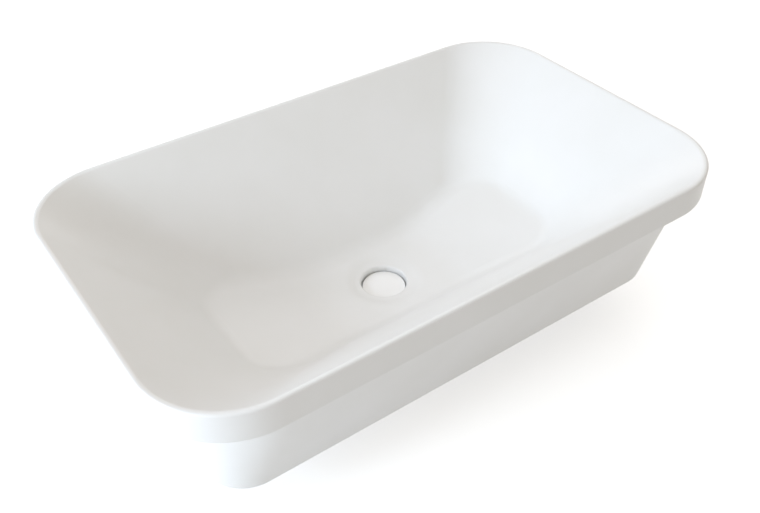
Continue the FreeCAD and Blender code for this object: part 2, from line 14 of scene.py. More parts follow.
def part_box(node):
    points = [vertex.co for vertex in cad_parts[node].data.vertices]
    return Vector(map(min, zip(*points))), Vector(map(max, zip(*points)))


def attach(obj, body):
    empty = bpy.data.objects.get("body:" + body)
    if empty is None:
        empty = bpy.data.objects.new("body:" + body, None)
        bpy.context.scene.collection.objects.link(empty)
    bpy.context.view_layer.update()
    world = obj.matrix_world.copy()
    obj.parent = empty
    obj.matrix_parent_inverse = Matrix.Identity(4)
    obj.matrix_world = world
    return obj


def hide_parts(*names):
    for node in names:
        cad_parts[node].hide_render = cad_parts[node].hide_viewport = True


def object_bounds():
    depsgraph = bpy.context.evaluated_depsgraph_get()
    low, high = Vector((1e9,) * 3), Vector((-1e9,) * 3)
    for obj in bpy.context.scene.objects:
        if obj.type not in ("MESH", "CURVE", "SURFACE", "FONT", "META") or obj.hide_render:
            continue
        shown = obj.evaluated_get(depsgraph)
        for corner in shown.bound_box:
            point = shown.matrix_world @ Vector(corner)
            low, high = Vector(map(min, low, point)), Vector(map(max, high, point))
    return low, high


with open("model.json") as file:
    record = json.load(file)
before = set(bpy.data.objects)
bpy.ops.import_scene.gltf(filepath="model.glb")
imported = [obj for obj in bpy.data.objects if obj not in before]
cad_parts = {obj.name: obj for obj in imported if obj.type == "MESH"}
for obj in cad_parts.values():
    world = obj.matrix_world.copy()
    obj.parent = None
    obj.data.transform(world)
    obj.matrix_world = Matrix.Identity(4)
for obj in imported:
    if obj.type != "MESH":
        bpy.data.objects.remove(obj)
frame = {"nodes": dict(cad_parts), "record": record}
CAD_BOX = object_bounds()

bl_info = {
    "name": "Washbasin looks",
    "version": (1, 0, 0),
    "blender": (4, 5, 0),
    "location": "View3D > Sidebar > Washbasin",
    "description": "Finishes, fine pieces and studio for a semi-inset washbasin",
    "category": "Object",
}

MM = 0.001
QUARTER_TURN = math.radians(90)
WHITE = (1, 1, 1)

# Edges sharper than SHARP_ANGLE are rounded and shaded as edges, and points nearer than SAME_PLACE are one
SHARP_ANGLE = math.radians(35)
SAME_PLACE = 0.001 * MM
CUT_TOLERANCE = 0.0001 * MM

# Sides of round pieces, and steps in one turn of a thread or a coil
ROUND_SIDES = 96
HEXAGON_SIDES = 6
WIRE_SIDES = 16
TURN_STEPS = 48

# A thread's flats and its start below the rod's foot, as shares of its pitch, and turns to spare for its cuts
TOOTH_FLAT_SHARE = 1 / 6
THREAD_START_SHARE = 4 / 3
SPARE_TURNS = 2

# Share of a groove's spacing that its half width takes, and how far a rod's end lies inside what it joins
GROOVE_SHARE = 0.3
BITE = 0.375 * MM

# A noise's middle value, how far to both sides of it a drift reaches, and a wave's radians in one unit
PATCH_MIDDLE = 0.5
PATCH_SPREAD = 0.2
WAVE_RADIANS = 20

# Sockets of Blender's mix node when it mixes colours
MIX_FACTOR, MIX_FIRST, MIX_SECOND, MIX_RESULT = 0, 6, 7, 2

SENSOR_WIDTH_MM = 36

OUTLET_MOUNT = next(mount for mount in frame["record"]["mounts"] if mount["name"] == "waste_outlet")
BARREL_R = OUTLET_MOUNT["dims"]["r_mm"] * MM


def linear(hex_colour):
    """The linear red, green and blue of an sRGB hex colour."""
    levels = [int(hex_colour[i:i + 2], 16) / 255 for i in (1, 3, 5)]
    return tuple(v / 12.92 if v <= 0.04045 else ((v + 0.055) / 1.055) ** 2.4 for v in levels)


def colour(name, description, hex_colour):
    """A colour that a user can change."""
    return bpy.props.FloatVectorProperty(
        name=name, description=description, subtype="COLOR", size=3, min=0, max=1, default=linear(hex_colour))


def length(name, description, metres):
    """A length that a user can change."""
    return bpy.props.FloatProperty(
        name=name, description=description, unit="LENGTH", precision=5, default=metres)


def position(name, description, metres):
    """A place that a user can change."""
    return bpy.props.FloatVectorProperty(
        name=name, description=description, subtype="TRANSLATION", size=3, precision=4, default=metres)


def angle(name, description, degrees):
    """An angle that a user can change."""
    return bpy.props.FloatProperty(
        name=name, description=description, subtype="ANGLE", default=math.radians(degrees))


def count(name, description, number):
    """A number of features that a user can change."""
    return bpy.props.IntProperty(name=name, description=description, min=1, default=number)


def share(name, description, part):
    """A strength from 0 to 1 that a user can change."""
    return bpy.props.FloatProperty(
        name=name, description=description, subtype="FACTOR", min=0, max=1, default=part)


def watts(name, description, power):
    """A lamp's power that a user can change."""
    return bpy.props.FloatProperty(name=name, description=description, unit="POWER", min=0, default=power)


class FinishSettings(bpy.types.PropertyGroup):
    """Colours of the finishes, and where the glaze begins."""
    glaze: colour("Glaze", "Satin white glaze where it lies thick", "#F3F3F2")
    glaze_thin: colour("Thin glaze", "The same glaze where it lies thin over the body", "#F0F0EE")
    clay: colour("Clay", "Bare fired clay on the foot", "#E6DFD1")
    gloss_glaze: colour("Gloss glaze", "Gloss white glaze of the plug's cap", "#FAFAF9")
    chrome: colour("Chrome", "Plated chrome", "#C6C8C9")
    brass: colour("Brass", "Freshly turned brass", "#D9BC74")
    brass_dull: colour("Dull brass", "Brass that has begun to tarnish", "#B59252")
    rubber: colour("Rubber", "Black moulded rubber", "#1B1B1C")
    rubber_bloom: colour("Rubber bloom", "The grey bloom on old rubber", "#3A3A3B")
    acetal: colour("Acetal", "Natural white acetal", "#EBEAE4")
    fibre: colour("Fibre", "Red vulcanised fibre", "#7C3226")
    fibre_dark: colour("Dark fibre", "The darker strands in the fibre", "#54201A")
    steel: colour("Steel", "Stainless spring steel", "#B4B3B0")
    glaze_line: length("Glaze line", "How far above the foot the glaze begins", 1.5 * MM)


class WasteSettings(bpy.types.PropertyGroup):
    """Sizes of the threads, edges and mouldings of the waste."""
    barrel_pitch: length("Barrel pitch", "Pitch of the barrel's 1 1/4 inch pipe thread", 2.309 * MM)
    barrel_thread: length("Barrel thread", "Depth of the barrel's thread", 1.4 * MM)
    barrel_wall: length("Barrel wall", "Wall of the barrel over its crests", 2.5 * MM)
    barrel_lead_in: length("Barrel lead-in", "Chamfer at the barrel's foot", 1.5 * MM)
    flange_thickness: length("Flange", "Thickness of the flange", 1.4 * MM)
    gasket_width: length("Gasket width", "Width of the rubber ring under the flange", 1.8 * MM)
    relief_drop: length("Relief drop", "From the lock nut's foot to the groove below it", 2.0 * MM)
    relief_width: length("Relief width", "Height of that groove", 2.5 * MM)
    relief_depth: length("Relief depth", "Depth of that groove below the crests", 0.9 * MM)
    bridge_wall: length("Bridge wall", "Wall of the bridge's boss", 3.4 * MM)
    bridge_rib: length("Bridge rib", "Width of the bridge's ribs", 3.6 * MM)
    sleeve_pitch: length("Sleeve pitch", "Pitch of the cartridge sleeve's thread", 1.0 * MM)
    sleeve_thread: length("Sleeve thread", "Depth of the cartridge sleeve's thread", 0.55 * MM)
    sleeve_wall: length("Sleeve wall", "Wall of the cartridge sleeve over its crests", 1.4 * MM)
    sleeve_collar: length("Sleeve collar", "Height of the sleeve's hexagon", 4.0 * MM)
    thread_room: length("Thread room", "Clearance of a nut or ring round a thread", 0.1 * MM)
    nut_chamfer: length("Nut chamfer", "How much is turned off a nut's corners", 1.0 * MM)
    nut_lead_in: length("Nut lead-in", "Countersink at both ends of a nut's bore", 0.7 * MM)
    soft_edge: length("Soft edge", "Rounding of machined edges and of thin rubber rings", 0.2 * MM)
    washer_edge: length("Washer edge", "Rounding of the slip washer's edges", 0.5 * MM)
    cone_edge: length("Cone edge", "Rounding of the rubber cone's edges and grooves", 0.25 * MM)
    cone_foot_width: length("Cone foot", "Width of the rubber cone at its foot", 6.0 * MM)
    cone_grooves: count("Cone grooves", "Moulded grooves round the rubber cone", 3)
    groove_depth: length("Groove depth", "Depth of those grooves", 0.6 * MM)
    spring_wire: length("Spring wire", "Diameter of the spring's wire", 0.9 * MM)
    spring_turns: count("Spring turns", "Turns of the return spring", 6)
    slot_width: length("Slot width", "Width of the screwdriver slot in the foot plug", 1.4 * MM)
    slot_depth: length("Slot depth", "Depth of that slot", 1.2 * MM)
    slot_turn: angle("Slot turn", "How far that slot has been screwed round", 20)


class StageSettings(bpy.types.PropertyGroup):
    """Camera, lamps and floor."""
    camera_place: position("Camera place", "Where the camera stands", (-0.4111, -0.5735, 0.5181))
    camera_pitch: angle("Camera pitch", "How far the camera looks down", 39.6)
    camera_yaw: angle("Camera yaw", "How far the camera turns right", 35.31)
    camera_roll: angle("Camera roll", "How far the camera leans", 0.21)
    camera_lens: bpy.props.FloatProperty(
        name="Camera lens", description="Focal length on a 36 mm wide sensor", unit="CAMERA", default=41.94)
    floor_colour: colour("Floor", "Pale floor", "#D9D9D9")
    floor_size: length("Floor size", "Width of the square floor", 6.0)
    floor_lift: share("Floor lift", "White that the floor adds to itself for the eye", 0.62)
    ambient: share("Ambient", "Strength of the even light from all round", 0.47)
    ambient_colour: colour("Ambient colour", "Tint of the even light", "#FFF8EE")
    lamp_target: position("Lamp target", "Where the softboxes face", (0, 0, -0.02))
    key_place: position("Key place", "Where the low softbox at the left stands", (-2.0, 0.0, 0.65))
    key_size: length("Key size", "Width of the low softbox at the left", 0.7)
    key_power: watts("Key power", "Power of the low softbox at the left", 24.5)
    key_colour: colour("Key colour", "Tint of the low softbox at the left", "#DAEDFF")
    side_place: position("Side place", "Where the softbox behind on the left stands", (-1.7, 0.8, 1.05))
    side_size: length("Side size", "Width of the softbox behind on the left", 0.7)
    side_power: watts("Side power", "Power of the softbox behind on the left", 6.8)
    side_colour: colour("Side colour", "Tint of the softbox behind on the left", "#DFE8FF")
    top_place: position("Top place", "Where the softbox overhead hangs", (0.0, 0.0, 2.2))
    top_size: length("Top size", "Width of the softbox overhead", 1.8)
    top_power: watts("Top power", "Power of the softbox overhead", 8.0)
    front_place: position("Front place", "Where the low softbox at the near left stands", (-1.7, -1.0, 0.3))
    front_size: length("Front size", "Width of the low softbox at the near left", 1.0)
    front_power: watts("Front power", "Power of the low softbox at the near left", 4.8)
    back_place: position("Back place", "Where the softbox behind on the right stands", (0.95, 1.6, 1.05))
    back_size: length("Back size", "Width of the softbox behind on the right", 1.4)
    back_power: watts("Back power", "Power of the softbox behind on the right", 7.0)
    fill_colour: colour("Fill colour", "Tint of the top, front and back softboxes", "#FDFDFF")


def add_node(tree, kind, settings=None, links=None):
    """Adds one shader node, with {setting or input: value} and {input: socket that feeds it}."""
    node = tree.nodes.new(kind)
    for key, value in (settings or {}).items():
        if isinstance(key, str) and hasattr(node, key):
            setattr(node, key, value)
        else:
            node.inputs[key].default_value = value
    for key, socket in (links or {}).items():
        tree.links.new(socket, node.inputs[key])
    return node


def new_finish(name, values=None):
    """A material with its tree, its shader with {input: value}, and the coordinates that patterns follow."""
    material = bpy.data.materials.new(name)
    material.use_nodes = True
    tree = material.node_tree
    shader = tree.nodes["Principled BSDF"]
    for key, value in (values or {}).items():
        shader.inputs[key].default_value = value
    place = add_node(tree, "ShaderNodeTexCoord").outputs["Object"]
    return material, tree, shader, place


def mottle(tree, shader, place, first, second, size, spread=PATCH_SPREAD):
    """Lets the base colour drift between two colours in soft patches of one size."""
    noise = add_node(tree, "ShaderNodeTexNoise", {"Scale": 1 / size, "Detail": 3.0}, {"Vector": place})
    drift = add_node(
        tree, "ShaderNodeMapRange",
        {"From Min": PATCH_MIDDLE - spread, "From Max": PATCH_MIDDLE + spread},
        {"Value": noise.outputs["Fac"]})
    mix = add_node(
        tree, "ShaderNodeMix", {"data_type": "RGBA", MIX_FIRST: (*first, 1), MIX_SECOND: (*second, 1)},
        {MIX_FACTOR: drift.outputs["Result"]})
    tree.links.new(mix.outputs[MIX_RESULT], shader.inputs["Base Color"])


def uneven(tree, shader, place, low, high, size):
    """Lets the roughness drift between two values in patches of one size."""
    noise = add_node(tree, "ShaderNodeTexNoise", {"Scale": 1 / size, "Detail": 4.0}, {"Vector": place})
    drift = add_node(
        tree, "ShaderNodeMapRange",
        {"From Min": PATCH_MIDDLE - PATCH_SPREAD, "From Max": PATCH_MIDDLE + PATCH_SPREAD,
         "To Min": low, "To Max": high},
        {"Value": noise.outputs["Fac"]})
    tree.links.new(drift.outputs["Result"], shader.inputs["Roughness"])


def ripple(tree, shader, place, size, depth, detail, strength):
    """Lets the surface rise and fall by a depth in soft patches of one size."""
    noise = add_node(tree, "ShaderNodeTexNoise", {"Scale": 1 / size, "Detail": detail}, {"Vector": place})
    bump = add_node(
        tree, "ShaderNodeBump", {"Strength": strength, "Distance": depth}, {"Height": noise.outputs["Fac"]})
    tree.links.new(bump.outputs["Normal"], shader.inputs["Normal"])


def lathe_rings(tree, shader, place, spacing, depth):
    """Turning marks, rings round the piece's axis."""
    rings = add_node(
        tree, "ShaderNodeTexWave",
        {"wave_type": "BANDS", "bands_direction": "Z", "Scale": math.tau / WAVE_RADIANS / spacing,
         "Distortion": 0.4, "Detail": 2.0, "Detail Scale": 2.0},
        {"Vector": place})
    bump = add_node(
        tree, "ShaderNodeBump", {"Strength": 0.5, "Distance": depth}, {"Height": rings.outputs["Fac"]})
    tree.links.new(bump.outputs["Normal"], shader.inputs["Normal"])


def bare_foot(tree, shader, place, finish, wander, roughness):
    """Leaves the clay bare below a glaze line that wanders, just above the casting's foot."""
    foot_z = heights("ceramic_basin")[0]
    noise = add_node(tree, "ShaderNodeTexNoise", {"Scale": 1 / wander, "Detail": 2.0}, {"Vector": place})
    line = add_node(
        tree, "ShaderNodeMapRange",
        {"To Min": foot_z + finish.glaze_line / 2, "To Max": foot_z + finish.glaze_line * 3 / 2},
        {"Value": noise.outputs["Fac"]})
    height = add_node(tree, "ShaderNodeSeparateXYZ", links={"Vector": place})
    glazed = add_node(
        tree, "ShaderNodeMath", {"operation": "GREATER_THAN"},
        {0: height.outputs["Z"], 1: line.outputs["Result"]}).outputs["Value"]
    glaze_colour = shader.inputs["Base Color"].links[0].from_socket
    tone = add_node(
        tree, "ShaderNodeMix", {"data_type": "RGBA", MIX_FIRST: (*finish.clay, 1)},
        {MIX_FACTOR: glazed, MIX_SECOND: glaze_colour})
    tree.links.new(tone.outputs[MIX_RESULT], shader.inputs["Base Color"])
    glaze_roughness = shader.inputs["Roughness"].links[0].from_socket
    rough = add_node(
        tree, "ShaderNodeMapRange", {"To Min": roughness}, {"Value": glazed, "To Max": glaze_roughness})
    tree.links.new(rough.outputs["Result"], shader.inputs["Roughness"])


def satin_glazed_china(finish):
    """Vitreous china, sprayed with satin white glaze and fired: soft broad shine, faint ripple, bare foot."""
    material, tree, shader, place = new_finish("satin_glazed_china")
    mottle(tree, shader, place, finish.glaze, finish.glaze_thin, size=90 * MM)
    uneven(tree, shader, place, low=0.3, high=0.38, size=60 * MM)
    bare_foot(tree, shader, place, finish, wander=30 * MM, roughness=0.8)
    ripple(tree, shader, place, size=14 * MM, depth=0.03 * MM, detail=1.0, strength=0.4)
    return material


def gloss_glazed_china(finish):
    """A china cap, dipped in gloss white glaze and fired: whiter than the bowl, with a small clear shine."""
    material, tree, shader, place = new_finish(
        "gloss_glazed_china", {"Base Color": (*finish.gloss_glaze, 1), "IOR": 1.55})
    uneven(tree, shader, place, low=0.09, high=0.16, size=12 * MM)
    return material


def plated_chrome(finish):
    """Brass, polished and chrome plated: a clear dark-and-light mirror with a little haze."""
    material, tree, shader, place = new_finish(
        "plated_chrome", {"Base Color": (*finish.chrome, 1), "Metallic": 1.0})
    uneven(tree, shader, place, low=0.07, high=0.16, size=8 * MM)
    return material


def turned_brass(finish):
    """Brass bar, turned and left bare: warm metal, dulled in patches, with rings from the tool."""
    material, tree, shader, place = new_finish("turned_brass", {"Metallic": 1.0})
    mottle(tree, shader, place, finish.brass, finish.brass_dull, size=9 * MM)
    uneven(tree, shader, place, low=0.22, high=0.42, size=5 * MM)
    # A fine cut leaves rings 0.1 to 0.2 mm apart, too fine to show, so they are drawn further apart
    lathe_rings(tree, shader, place, spacing=0.4 * MM, depth=0.004 * MM)
    return material


def moulded_rubber(finish):
    """Black rubber from a mould: dull, close to black, with a grey bloom and a fine skin."""
    material, tree, shader, place = new_finish("moulded_rubber", {"IOR": 1.52})
    mottle(tree, shader, place, finish.rubber, finish.rubber_bloom, size=6 * MM, spread=1 / 3)
    uneven(tree, shader, place, low=0.58, high=0.8, size=4 * MM)
    ripple(tree, shader, place, size=0.7 * MM, depth=0.04 * MM, detail=2.0, strength=0.5)
    return material


def moulded_acetal(finish):
    """Natural acetal from a mould: waxy white, soft shine, a little light goes in."""
    material, tree, shader, place = new_finish("moulded_acetal", {
        "Base Color": (*finish.acetal, 1), "IOR": 1.48, "Subsurface Weight": 0.12,
        "Subsurface Radius": (0.6 * MM, 0.6 * MM, 0.5 * MM), "Subsurface Scale": 1.0})
    uneven(tree, shader, place, low=0.36, high=0.5, size=5 * MM)
    return material


def vulcanised_fibre(finish):
    """Red vulcanised fibre, pressed from paper: dull brown red with darker strands."""
    material, tree, shader, place = new_finish("vulcanised_fibre")
    # Paper's strands are far finer than this and are drawn as coarse as they need to show
    mottle(tree, shader, place, finish.fibre, finish.fibre_dark, size=0.9 * MM)
    uneven(tree, shader, place, low=0.7, high=0.9, size=1.2 * MM)
    return material


def drawn_steel(finish):
    """Stainless spring wire and strip, drawn and tumbled: grey metal with a soft shine."""
    material, tree, shader, place = new_finish(
        "drawn_steel", {"Base Color": (*finish.steel, 1), "Metallic": 1.0})
    uneven(tree, shader, place, low=0.2, high=0.36, size=1.5 * MM)
    return material


def finish_of(context, maker):
    """The material that a maker gives, made once and found again by the maker's name."""
    return bpy.data.materials.get(maker.__name__) or maker(context.scene.washbasin_finish)


def dress(nodes, material):
    """Gives CAD nodes a material in place of the frame's own."""
    for node in nodes:
        for slot in frame["nodes"][node].material_slots:
            slot.material = material


def activate(piece):
    """Makes one piece the only selected one."""
    bpy.ops.object.select_all(action="DESELECT")
    piece.select_set(True)
    bpy.context.view_layer.objects.active = piece


def settle():
    """Leaves edit mode and moves the active piece's place into its mesh."""
    bpy.ops.object.mode_set(mode="OBJECT")
    bpy.ops.object.transform_apply(location=True, rotation=True, scale=True)
    return bpy.context.object


def settle_outward():
    """The same, with the faces turned outwards first."""
    bpy.ops.mesh.select_all(action="SELECT")
    bpy.ops.mesh.normals_make_consistent(inside=False)
    return settle()


def apply_last(piece):
    """Applies the piece's last modifier."""
    activate(piece)
    bpy.ops.object.modifier_apply(modifier=piece.modifiers[-1].name)
    return piece


def soften(piece, width, segments=2):
    """Rounds the sharp edges of a piece."""
    bevel = piece.modifiers.new("soft_edges", "BEVEL")
    bevel.width = width
    bevel.segments = segments
    bevel.limit_method = "ANGLE"
    bevel.angle_limit = SHARP_ANGLE
    return apply_last(piece)


def combine(piece, tool, operation):
    """Joins a solid to a piece (UNION), cuts it away (DIFFERENCE) or keeps what both share (INTERSECT)."""
    boolean = piece.modifiers.new("combined", "BOOLEAN")
    boolean.object = tool
    boolean.operation = operation
    boolean.solver = "EXACT"
    apply_last(piece)
    bpy.data.objects.remove(tool, do_unlink=True)
    return piece


def turned(outline, bored=True):
    """A piece turned about the drain axis: a ring is extruded along an outline of (radius, height) points.

    A bored piece's last ring is bridged to its first, and a solid piece's two end rings are filled.
    """
    radius, z = outline[0]
    bpy.ops.object.select_all(action="DESELECT")
    bpy.ops.mesh.primitive_circle_add(
        vertices=ROUND_SIDES, radius=radius, location=(0, 0, z), enter_editmode=True)
    bpy.ops.mesh.select_mode(type="EDGE")
    for next_radius, next_z in outline[1:]:
        bpy.ops.mesh.extrude_edges_move(TRANSFORM_OT_translate={"value": (0, 0, next_z - z)})
        growth = next_radius / radius
        bpy.ops.transform.resize(value=(growth, growth, 1), center_override=(0, 0, next_z))
        radius, z = next_radius, next_z
    bpy.ops.mesh.select_all(action="DESELECT")
    bpy.ops.mesh.select_non_manifold()
    if bored:
        bpy.ops.mesh.bridge_edge_loops()
    else:
        bpy.ops.mesh.fill_holes(sides=0)
    return settle_outward()


def bored_ring(outer_r, inner_r, foot_z, top_z):
    """A plain ring on the drain axis."""
    return turned([(inner_r, foot_z), (outer_r, foot_z), (outer_r, top_z), (inner_r, top_z)])


def plain_rod(radius, foot_z, top_z):
    """A plain rod on the drain axis."""
    return turned([(radius, foot_z), (radius, top_z)], bored=False)


def wind(piece, rise, turns):
    """Screws an outline that stands beside the drain axis up that axis, by a rise for each turn."""
    screw = piece.modifiers.new("wound", "SCREW")
    screw.screw_offset = rise
    screw.iterations = turns
    screw.steps = screw.render_steps = TURN_STEPS
    return apply_last(piece)


def threaded_rod(crest_r, depth, pitch, foot_z, top_z):
    """A rod with a real thread: one tooth's outline is wound up the axis and cut square at both ends."""
    root_r = crest_r - depth
    flat = TOOTH_FLAT_SHARE * pitch
    tooth = [
        (root_r, 0), (root_r, flat / 2), (crest_r, (pitch - flat) / 2), (crest_r, (pitch + flat) / 2),
        (root_r, pitch - flat / 2), (root_r, pitch)]
    start = (root_r, 0, foot_z - THREAD_START_SHARE * pitch)
    bpy.ops.object.select_all(action="DESELECT")
    bpy.ops.mesh.primitive_plane_add(size=depth, location=start, enter_editmode=True)
    bpy.ops.mesh.select_mode(type="VERT")
    bpy.ops.mesh.merge(type="CENTER")
    for (r, z), (next_r, next_z) in zip(tooth, tooth[1:]):
        bpy.ops.mesh.extrude_region_move(TRANSFORM_OT_translate={"value": (next_r - r, 0, next_z - z)})
    turns = math.ceil((top_z - foot_z) / pitch) + SPARE_TURNS
    wind(settle(), pitch, turns)
    bpy.ops.object.mode_set(mode="EDIT")
    bpy.ops.mesh.select_all(action="SELECT")
    bpy.ops.mesh.remove_doubles(threshold=SAME_PLACE)
    for cut_z, side in ((foot_z, "clear_inner"), (top_z, "clear_outer")):
        bpy.ops.mesh.select_all(action="SELECT")
        bpy.ops.mesh.bisect(
            plane_co=(0, 0, cut_z), plane_no=(0, 0, 1), use_fill=True, threshold=CUT_TOLERANCE,
            **{side: True})
    return settle_outward()


def hexagon(flat_r, foot_z, top_z, chamfer):
    """A hexagon bar, flat_r from its axis to its flats, with its corners turned off at both ends."""
    half_side = math.pi / HEXAGON_SIDES
    corner_r = flat_r / math.cos(half_side)
    bpy.ops.object.select_all(action="DESELECT")
    bpy.ops.mesh.primitive_cylinder_add(
        vertices=HEXAGON_SIDES, radius=corner_r, depth=top_z - foot_z,
        location=(0, 0, (foot_z + top_z) / 2), rotation=(0, 0, half_side))
    stock = settle()
    envelope = turned([
        (corner_r - 2 * chamfer, foot_z - chamfer / 2), (corner_r + chamfer, foot_z + chamfer),
        (corner_r + chamfer, top_z - chamfer), (corner_r - 2 * chamfer, top_z + chamfer / 2)], bored=False)
    return combine(stock, envelope, "INTERSECT")


def bore(piece, radius, foot_z, top_z, lead_in):
    """Bores a piece along the drain axis and countersinks both ends."""
    mouth_r = radius + 2 * lead_in
    drill = turned([
        (mouth_r, foot_z - lead_in), (radius, foot_z + lead_in),
        (radius, top_z - lead_in), (mouth_r, top_z + lead_in)], bored=False)
    return combine(piece, drill, "DIFFERENCE")


def bar(size, centre, turn):
    """A square bar, turned about the drain axis."""
    bpy.ops.object.select_all(action="DESELECT")
    bpy.ops.mesh.primitive_cube_add(size=1, location=centre, rotation=(0, 0, turn), scale=size)
    return settle()


def heights(node):
    """The foot and the top of a CAD node."""
    low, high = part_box(node)
    return low.z, high.z


def radius_of(node):
    """The radius of a round CAD node, or a hexagon's from its axis to its flats."""
    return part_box(node)[1].y


def sleeve_radius(waste):
    """The cartridge sleeve's radius over its crests: its bore, which the foot plug fills, and its wall."""
    return radius_of("spring_plug") + waste.sleeve_wall


def stand_in(piece, name, node, material, body):
    """Names a finished piece, gives it its finish and puts it in place of a CAD node."""
    piece.name = name
    piece.data.name = name
    piece.data.materials.clear()
    piece.data.materials.append(material)
    activate(piece)
    bpy.ops.object.shade_smooth_by_angle(angle=SHARP_ANGLE)
    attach(piece, body)
    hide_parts(node)


class WASHBASIN_OT_china(bpy.types.Operator):
    """Glaze the casting and the plug's cap"""
    bl_idname = "washbasin.china"
    bl_label = "Glazed china"

    def execute(self, context):
        dress(["ceramic_basin"], finish_of(context, satin_glazed_china))
        dress(["plug_cap"], finish_of(context, gloss_glazed_china))
        return {"FINISHED"}


class WASHBASIN_OT_waste_body(bpy.types.Operator):
    """Turn the waste body: flange, threaded barrel, relief groove and the ribbed bridge in its bore"""
    bl_idname = "washbasin.waste_body"
    bl_label = "Waste body"

    def execute(self, context):
        waste = context.scene.washbasin_waste
        foot_z, flange_z = heights("waste_body")
        flange_r = radius_of("waste_body")
        crest_r = BARREL_R
        bore_r = crest_r - waste.barrel_wall
        nut_foot_z, nut_top_z = heights("lock_nut")
        relief_z = nut_foot_z - waste.relief_drop
        relief_foot_z = relief_z - waste.relief_width
        over = waste.barrel_lead_in

        # The barrel below the nut's top: a thread, its lead-in and its relief groove
        body = threaded_rod(crest_r, waste.barrel_thread, waste.barrel_pitch, foot_z, nut_top_z)
        groove_r = crest_r - waste.relief_depth
        envelope = turned([
            (crest_r - 2 * over, foot_z - over), (crest_r + over, foot_z + 2 * over),
            (crest_r + over, relief_foot_z), (groove_r - over, relief_foot_z), (groove_r - over, relief_z),
            (crest_r + over, relief_z), (crest_r + over, nut_top_z + over)], bored=False)
        combine(body, envelope, "INTERSECT")
        combine(body, plain_rod(groove_r, relief_foot_z - BITE, relief_z + BITE), "UNION")

        # The plain barrel and the flange above it, and the bore through both
        flange_foot_z = flange_z - waste.flange_thickness
        head = turned([
            (crest_r, nut_top_z - BITE), (crest_r, flange_foot_z), (flange_r, flange_foot_z),
            (flange_r, flange_z)], bored=False)
        combine(body, soften(head, waste.soft_edge), "UNION")
        combine(body, plain_rod(bore_r, foot_z - over, flange_z + over), "DIFFERENCE")

        # The bridge in the bore: a bored boss on crossed ribs that reach into the barrel's wall
        bridge_z = heights("cartridge_washer")[0]
        bridge_foot_z = heights("cartridge_jam_nut")[1]
        middle = (0, 0, (bridge_z + bridge_foot_z) / 2)
        rib_size = (2 * bore_r + waste.barrel_wall / 2, waste.bridge_rib, bridge_z - bridge_foot_z)
        hub_r = sleeve_radius(waste) + waste.thread_room
        bridge = plain_rod(hub_r + waste.bridge_wall, bridge_foot_z, bridge_z)
        for turn in (0, QUARTER_TURN):
            combine(bridge, bar(rib_size, middle, turn), "UNION")
        bore(bridge, hub_r, bridge_foot_z, bridge_z, waste.soft_edge)
        combine(body, soften(bridge, waste.soft_edge), "UNION")
        chrome = finish_of(context, plated_chrome)
        stand_in(body, "threaded_waste_body", "waste_body", chrome, "basin")
        return {"FINISHED"}


class WASHBASIN_OT_nuts(bpy.types.Operator):
    """Mill the lock nut under the basin and the jam nut under the bridge"""
    bl_idname = "washbasin.nuts"
    bl_label = "Nuts"

    def execute(self, context):
        waste = context.scene.washbasin_waste
        for node, name, thread_r in (
                ("lock_nut", "hexagon_lock_nut", BARREL_R),
                ("cartridge_jam_nut", "hexagon_jam_nut", sleeve_radius(waste))):
            foot_z, top_z = heights(node)
            nut = hexagon(radius_of(node), foot_z, top_z, waste.nut_chamfer)
            bore(nut, thread_r + waste.thread_room, foot_z, top_z, waste.nut_lead_in)
            soften(nut, waste.soft_edge)
            stand_in(nut, name, node, finish_of(context, turned_brass), "basin")
        return {"FINISHED"}


class WASHBASIN_OT_rings(bpy.types.Operator):
    """Mould the rubber cone, gasket and plug seal, and the plastic slip washer"""
    bl_idname = "washbasin.rings"
    bl_label = "Seals and washers"

    def execute(self, context):
        waste = context.scene.washbasin_waste
        rubber = finish_of(context, moulded_rubber)
        inner_r = BARREL_R + waste.thread_room
        foot_z, top_z = heights("tapered_seal")
        top_r = radius_of("tapered_seal")
        foot_r = inner_r + waste.cone_foot_width
        cone = [(inner_r, top_z), (inner_r, foot_z), (foot_r, foot_z)]
        for groove in range(waste.cone_grooves):
            for step, depth in ((-GROOVE_SHARE, 0), (0, waste.groove_depth), (GROOVE_SHARE, 0)):
                up = (groove + 1 + step) / (waste.cone_grooves + 1)
                cone.append((foot_r + (top_r - foot_r) * up - depth, foot_z + (top_z - foot_z) * up))
        cone.append((top_r, top_z))
        seal = soften(turned(cone), waste.cone_edge, segments=3)
        stand_in(seal, "grooved_cone_seal", "tapered_seal", rubber, "basin")

        acetal = finish_of(context, moulded_acetal)
        gasket_r = radius_of("flange_gasket") - waste.gasket_width
        plug_r = radius_of("plug_carrier")
        ring_edge, slip_edge = waste.soft_edge, waste.washer_edge
        for node, name, hole_r, edge, material, body, slot in (
                ("flange_gasket", "moulded_gasket", gasket_r, ring_edge, rubber, "basin", "black_rubber"),
                ("plug_seal", "moulded_plug_seal", plug_r, ring_edge, rubber, "plug", "black_rubber"),
                ("slip_washer", "moulded_slip_washer", inner_r, slip_edge, acetal, "basin", "white_acetal")):
            piece = soften(bored_ring(radius_of(node), hole_r, *heights(node)), edge, segments=3)
            stand_in(piece, name, node, material, body)
        return {"FINISHED"}


